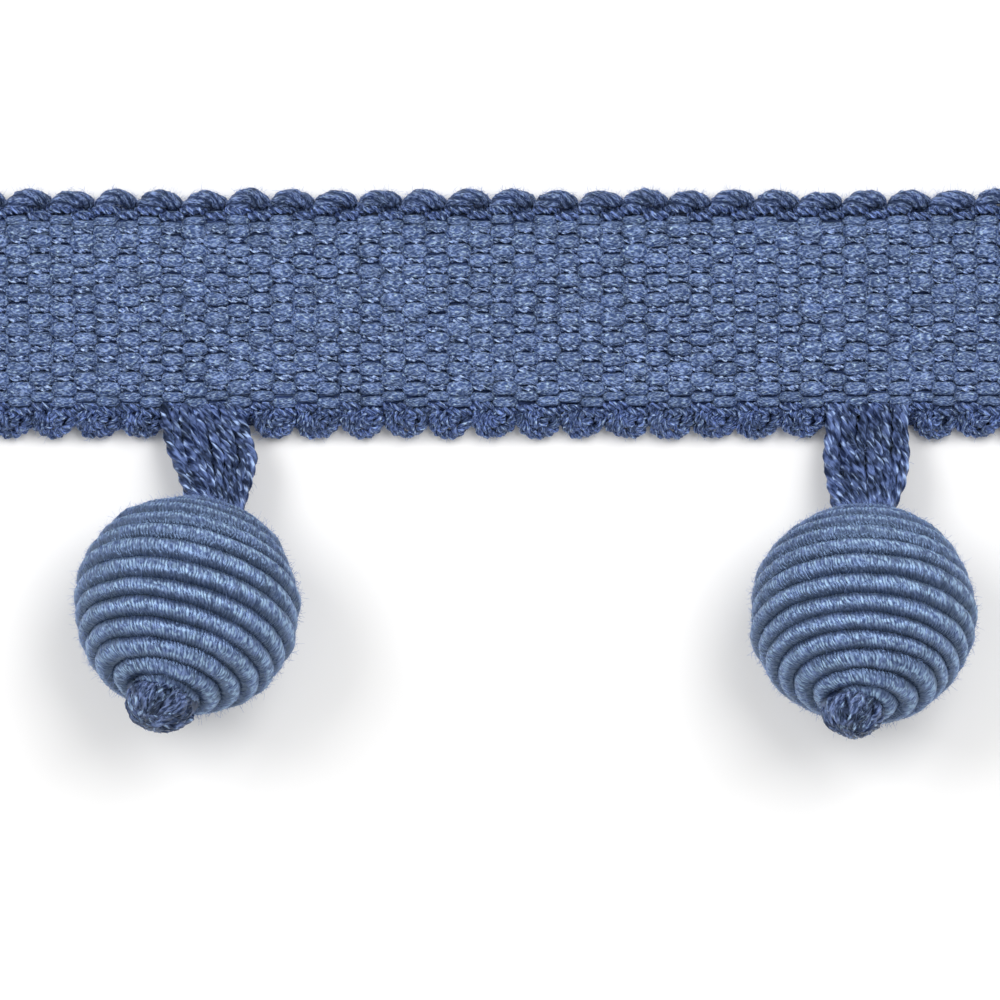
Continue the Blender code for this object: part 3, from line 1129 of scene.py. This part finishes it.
def knot_strand(strand, size, turn, middle, chooser):
    """A yarn that comes out of the hole, folds over the knot and goes back in."""
    around = math.tau * strand * KNOT_TURN + chooser.uniform(-0.3, 0.3)
    share = np.linspace(0, 1, KNOT_STEPS)
    swing = np.pi * (share * KNOT_SWING - KNOT_SWING / 2)
    reach = size * chooser.uniform(0.78, 0.92)
    offset = chooser.uniform(-0.55, 0.55) * size
    flat = np.sqrt(max(0.05, 1 - (offset / reach) ** 2))
    wiggle = 0.1 * size * np.sin(share * 9 + chooser.uniform(*ANY_START))
    x = reach * flat * np.sin(swing)
    z = -KNOT_HEIGHT * reach * flat * np.cos(swing)
    y = (offset + wiggle) * (1 + KNOT_NARROWING * z.clip(-size, 0) / size)
    sine, cosine = math.sin(around), math.cos(around)
    local = np.stack([x * cosine - y * sine, x * sine + y * cosine, z], 1)
    points = local @ turn.T + np.array(middle)
    return points, chooser.uniform(0.9, 1.15), share * 17 + strand


def knot_core(size, axis, middle):
    """A bundle of yarn ends that fills the knot and the hole that it comes out of."""
    share = np.linspace(-1, 1, 13)
    girth = np.sqrt(1 - share**2) * 0.86 * size / KNOT_YARN_RADIUS + 0.1
    points = np.outer(share * 1.15 - 0.55, np.array(axis)) * size + np.array(middle)
    return points, girth, 0.0


# ---------------------------------------------------------------- stray fibres

FIBRE_STEPS = 2
FIBRE_RADIUS = 0.011 * MM
# How far from a vertex a fibre starts: to any side in millimetres, and inwards
FIBRE_SCATTER = 0.05
FIBRE_ROOT = 0.06 * MM
FIBRE_CLEARANCE = 0.03 * MM


def stray_fibres(source, count, length, wanted, seed):
    """Strands for thin fibres that stand off a piece, from the vertices that are wanted."""
    places = vertex_values(bpy.data.objects[source])
    facing = vertex_values(bpy.data.objects[source], "normal")
    generator = np.random.default_rng(seed)
    picked = generator.choice(np.nonzero(wanted(places, facing))[0], count)
    point = places[picked] + generator.normal(size=(count, 3)) * FIBRE_SCATTER * MM
    point -= facing[picked] * FIBRE_ROOT
    heading = facing[picked] * 0.9 + generator.normal(size=(count, 3)) * 0.6
    bend = generator.normal(size=(count, 3)) * 0.8
    own = 0.35 + generator.exponential(0.4, (count, 1)).clip(0, 1.4)
    step = length * MM * own / FIBRE_STEPS
    path = [point]
    for _ in range(FIBRE_STEPS):
        heading = heading + bend + generator.normal(size=(count, 3)) * 0.25
        heading /= np.linalg.norm(heading, axis=1, keepdims=True)
        point = point + heading * step
        point[:, 2] = point[:, 2].clip(FIBRE_CLEARANCE)
        path.append(point)
    sizes = np.linspace(1, 0.5, FIBRE_STEPS + 1) * generator.uniform(0.7, 1.4, (count, 1))
    return [(points, size, 0.0) for points, size in zip(np.stack(path, 1), sizes)]


def on_ball(number, low, high):
    """Picks the cord's outer vertices on a band of the ball, by the height of their direction."""
    centre = np.array(pendant(number)[0])

    def wanted(places, facing):
        outward = places - centre
        outward /= np.linalg.norm(outward, axis=1, keepdims=True)
        on_band = (outward[:, 2] > low) & (outward[:, 2] < high)
        return on_band & ((outward * facing).sum(1) > 0.6)

    return wanted


def beyond(line, way):
    """Picks the vertices that lie past a line across the heading and face the same way."""
    return lambda places, facing: (places[:, 1] * way > line) & (facing[:, 1] * way > 0.1)


def upward(places, facing):
    return facing[:, 2] > 0.3


def sideways(places, facing):
    return np.abs(facing[:, 0]) > 0.6


def anywhere(places, facing):
    return np.full(len(places), True)


# One row per group of fibres: its name and slot, and for each piece they stray from their
# number, their usual length in millimetres and where they start
FIBRES = (
    ("weave_fuzz", "heading_weave", (
        ("upper_loops", 6900, 0.43, beyond(7.7 * MM, 1)),
        ("lower_loops", 2400, 0.4, beyond(7.8 * MM, -1)),
        ("upper_loops", 1200, 0.45, upward),
        ("thick_warps", 800, 0.55, upward),
    )),
    ("hanger_fuzz", "hanger_yarn", (
        ("hanger_yarns_1", 500, 0.5, sideways),
        ("hanger_yarns_2", 500, 0.5, sideways),
    )),
    ("ball_fuzz", "ball_gimp", (
        ("wound_ball_1", 4700, 0.46, on_ball(1, -0.3, 0.35)),
        ("wound_ball_2", 4700, 0.46, on_ball(2, -0.3, 0.35)),
        ("wound_ball_1", 900, 0.4, on_ball(1, 0.35, 1.0)),
        ("wound_ball_2", 900, 0.4, on_ball(2, 0.35, 1.0)),
    )),
    ("knot_fuzz", "knot_yarn", (
        ("tied_knot_1", 500, 0.4, anywhere),
        ("tied_knot_2", 500, 0.4, anywhere),
    )),
)


class TRIM_OT_fuzz(Operator):
    """Let thin fibres stray from the loops, the weave, the balls, hangers and knots"""

    bl_idname = "trim.fuzz"
    bl_label = "Stray fibres"

    def execute(self, context):
        colours = context.scene.trim_colours
        nodes = Nodes("stray_fibre")
        shade = nodes.blotches(2 * MM, detail=2.0)
        colour = nodes.mix(shade, toned(colours.loop_cord, 1.5, 0.9), toned(colours.gimp, 2.4, 0.6))
        normal = nodes.bump(shade, 0.0)
        material = nodes.finish(colour, normal, roughness=0.5, specular=0.5, sheen=0.2, glow=0.0)
        for group, (name, slot, sources) in enumerate(FIBRES):
            strands = []
            for number, (source, count, length, wanted) in enumerate(sources):
                strands += stray_fibres(source, count, length, wanted, 50 + 10 * group + number)
            piece = sweep(name, section_object(3, FIBRE_RADIUS), strands)
            finish_piece(piece, material)
        return {"FINISHED"}


# ---------------------------------------------------------------- stage

FLOOR_SIZE = 6
FLOOR_COLOUR = (0.955, 0.95, 0.942, 1)
FILM_WIDTH = 36
WORLD_STRENGTH = 0.53
# One row per lamp, a metre from the origin: name, direction, width in metres and power in watts
LAMPS = (
    ("lamp_left", (-0.74, 0.4, 1.0), 0.5, 4.1),
    ("lamp_right", (0.43, 0.41, 1.0), 0.58, 5.3),
)


class TRIM_OT_stage(Operator):
    """Set the pale floor, the soft lamps and the camera straight above"""

    bl_idname = "trim.stage"
    bl_label = "Stage"

    def execute(self, context):
        scene = context.scene
        deselect_all()
        bpy.ops.mesh.primitive_plane_add(size=FLOOR_SIZE, location=(0, 0, 0))
        floor = bpy.context.object
        floor.name = "floor"
        material = bpy.data.materials.new("floor_card")
        material.use_nodes = True
        shader = material.node_tree.nodes["Principled BSDF"]
        shader.inputs["Base Color"].default_value = FLOOR_COLOUR
        shader.inputs["Roughness"].default_value = 0.9
        shader.inputs["Specular IOR Level"].default_value = 0.1
        floor.data.materials.append(material)
        for name, direction, size, power in LAMPS:
            data = bpy.data.lights.new(name, "AREA")
            data.size = size
            data.energy = power
            lamp = bpy.data.objects.new(name, data)
            place = Vector(direction).normalized()
            lamp.location = place
            lamp.rotation_euler = (-place).to_track_quat("-Z", "Y").to_euler()
            scene.collection.objects.link(lamp)
        world = bpy.data.worlds.new("soft_light")
        world.use_nodes = True
        background = world.node_tree.nodes["Background"]
        background.inputs["Color"].default_value = (1, 1, 1, 1)
        background.inputs["Strength"].default_value = WORLD_STRENGTH
        scene.world = world
        scene.view_settings.view_transform = "Standard"
        stage = scene.trim_stage
        camera_data = bpy.data.cameras.new("camera")
        camera_data.sensor_width = FILM_WIDTH
        camera_data.lens = FILM_WIDTH * stage.distance / stage.view_width
        camera_data.clip_end = 10
        camera = bpy.data.objects.new("camera", camera_data)
        camera.location = (stage.view_x, stage.view_y, stage.distance)
        scene.collection.objects.link(camera)
        scene.camera = camera
        return {"FINISHED"}


# ---------------------------------------------------------------- add-on

OPERATORS = (
    TRIM_OT_picks,
    TRIM_OT_thick_warps,
    TRIM_OT_thin_warps,
    TRIM_OT_edge_warps,
    TRIM_OT_upper_loops,
    TRIM_OT_lower_loops,
    TRIM_OT_hangers,
    TRIM_OT_balls,
    TRIM_OT_knots,
    TRIM_OT_fuzz,
    TRIM_OT_stage,
)


class TRIM_PT_panel(Panel):
    """Lists the trim's operators and settings"""

    bl_idname = "TRIM_PT_panel"
    bl_label = "Beaded Fringe Trim"
    bl_space_type = "VIEW_3D"
    bl_region_type = "UI"
    bl_category = "Trim"

    def draw(self, context):
        for name, group in SETTINGS.items():
            box = self.layout.box()
            for field in group.__annotations__:
                box.prop(getattr(context.scene, name), field)
        for operator in OPERATORS:
            self.layout.operator(operator.bl_idname)


CLASSES = (*SETTINGS.values(), *OPERATORS, TRIM_PT_panel)


def register():
    for item in CLASSES:
        bpy.utils.register_class(item)
    for name, group in SETTINGS.items():
        setattr(bpy.types.Scene, name, PointerProperty(type=group))


def unregister():
    for name in SETTINGS:
        delattr(bpy.types.Scene, name)
    for item in reversed(CLASSES):
        bpy.utils.unregister_class(item)


def main():
    register()
    for operator in OPERATORS:
        group, name = operator.bl_idname.split(".")
        getattr(getattr(bpy.ops, group), name)()


if __name__ == "__main__":
    main()
